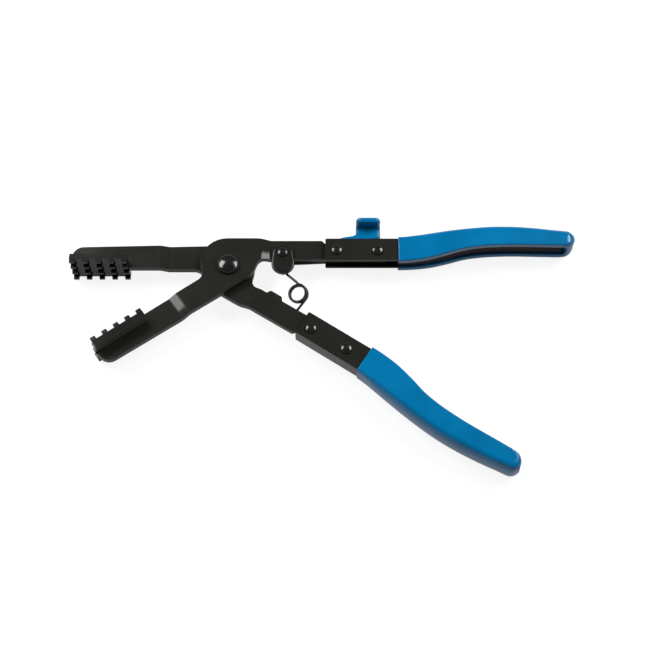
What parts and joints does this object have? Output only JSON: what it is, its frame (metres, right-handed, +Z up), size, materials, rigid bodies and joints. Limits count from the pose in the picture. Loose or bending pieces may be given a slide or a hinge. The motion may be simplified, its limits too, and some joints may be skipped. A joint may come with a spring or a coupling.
{
  "type": "angled hose clamp pliers",
  "caption": "Angled hose clamp pliers with cross-grooved jaw pads, sprung channel handles in dipped vinyl grips, and a handle catch worked by a thumb lever",
  "frame": {"origin": "middle of the underside of the box round the tool as it lies flat: the height of the lowest edge of the jaw pads", "axes": "+X along the upper handle from the pivot to its end, +Y from the lower handle towards the upper one across the tool, +Z up along the pivot, out of the near face"},
  "size_m": [0.2988, 0.1612, 0.0221],
  "materials": {
    "arm_steel": "black oiled pressed steel, satin, worn lighter on its sheared edges",
    "pad_steel": "black oiled milled steel, satin",
    "rivet_steel": "black oiled steel, semi-gloss, smooth heads",
    "channel_steel": "black oiled folded sheet steel, satin",
    "spring_steel": "oil-tempered spring wire, dark, semi-gloss",
    "grip_vinyl": "blue dipped vinyl, glossy, slightly soft"
  },
  "bodies": {
    "front": {"front_arm": "arm_steel", "lower_jaw_pad": "pad_steel", "pivot_rivet": "rivet_steel", "upper_channel": "channel_steel", "upper_front_rivet": "rivet_steel", "upper_rear_rivet": "rivet_steel", "upper_front_near_spacer": "channel_steel", "upper_rear_near_spacer": "channel_steel", "upper_rear_far_spacer": "channel_steel", "upper_grip": "grip_vinyl", "opening_spring": "spring_steel"},
    "rear": {"rear_arm": "arm_steel", "upper_jaw_pad": "pad_steel", "lower_channel": "channel_steel", "lower_front_rivet": "rivet_steel", "lower_rear_rivet": "rivet_steel", "lower_front_near_spacer": "channel_steel", "lower_front_far_spacer": "channel_steel", "lower_rear_near_spacer": "channel_steel", "lower_rear_far_spacer": "channel_steel", "lower_grip": "grip_vinyl", "spring_anchor": "rivet_steel"},
    "catch": {"catch": "channel_steel", "catch_pin": "rivet_steel", "catch_crank": "channel_steel"},
    "lever": {"lock_lever": "channel_steel", "lever_sleeve": "grip_vinyl"}
  },
  "joints": [
    {"name": "jaw_pivot", "type": "hinge", "parent": "front", "child": "rear", "pos_m": [-0.0564, 0.04941, 0.01105], "axis": [0, 0, 1], "range_deg": [0, 30], "stiffness_Nm_per_rad": 0.9, "deforming": ["opening_spring"]},
    {"name": "catch_pivot", "type": "hinge", "parent": "front", "child": "catch", "pos_m": [-0.0244, 0.05731, 0.01105], "axis": [0, 0, 1], "range_deg": [0, 45.48]},
    {"name": "lever_pivot", "type": "hinge", "parent": "front", "child": "lever", "pos_m": [0.0077, 0.05881, 0.01105], "axis": [0, 0, 1], "range_deg": [-7.26, 0]}
  ],
  "couplings": [
    {"joint": "catch_pivot", "follows": "jaw_pivot", "ratio": 1.516},
    {"joint": "lever_pivot", "follows": "jaw_pivot", "ratio": -0.2419}
  ]
}
